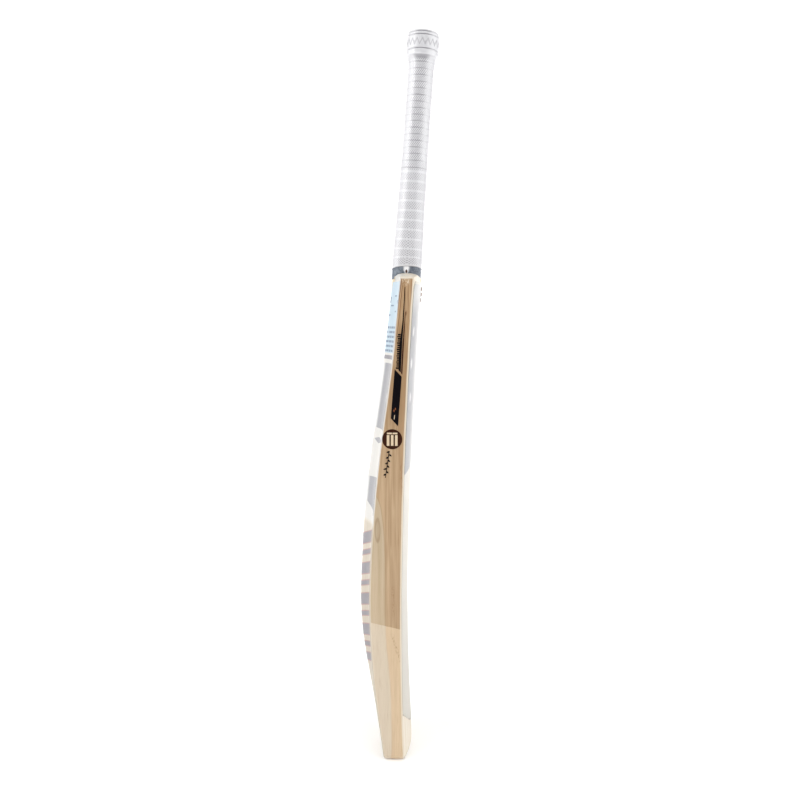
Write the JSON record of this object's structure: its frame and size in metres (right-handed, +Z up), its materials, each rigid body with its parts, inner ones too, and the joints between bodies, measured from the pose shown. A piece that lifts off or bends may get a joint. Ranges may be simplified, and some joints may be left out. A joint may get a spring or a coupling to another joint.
{
  "type": "cricket bat",
  "caption": "Full-size short-handle cricket bat: willow blade with a raised spine, spliced laminated cane handle, textured rubber grip with a collar, face sheet and printed decals.",
  "frame": {"origin": "centre of the flat of the toe, which the bat stands on", "axes": "+Z up from the toe to the handle, along the line the bat balances on; -Y towards the hitting face, +Y towards the spine; X across the width of the blade"},
  "size_m": [0.1082, 0.0953, 0.8554],
  "materials": {
    "willow": "lightly sanded and oiled",
    "cane": "sanded",
    "spring_rubber": "matte",
    "twine": "waxed",
    "shoulder_tape": "glossy",
    "grip_rubber": "matte, textured",
    "face_sheet": "satin",
    "grey_print": "satin",
    "label_blue": "glossy",
    "brown_print": "satin",
    "black_print": "satin"
  },
  "bodies": {
    "root": {"back_label": "label_blue", "back_panel_lower": "grey_print", "back_panel_upper": "grey_print", "blade": "willow", "cane_back_left": "cane", "cane_back_middle": "cane", "cane_back_right": "cane", "cane_face_left": "cane", "cane_face_middle": "cane", "cane_face_right": "cane", "cane_inner_back_left": "cane", "cane_inner_back_middle": "cane", "cane_inner_back_right": "cane", "cane_inner_face_left": "cane", "cane_inner_face_middle": "cane", "cane_inner_face_right": "cane", "edge_accent_left": "brown_print", "edge_accent_right": "brown_print", "edge_panel_left": "black_print", "edge_panel_right": "black_print", "edge_roundel_left": "brown_print", "edge_roundel_right": "brown_print", "edge_stripe_left": "black_print", "edge_stripe_right": "black_print", "face_panel": "grey_print", "face_sheet": "face_sheet", "grip": "grip_rubber", "shoulder_tape": "shoulder_tape", "spring_back": "spring_rubber", "spring_face": "spring_rubber", "spring_middle": "spring_rubber", "twine_binding": "twine"}
  },
  "joints": []
}
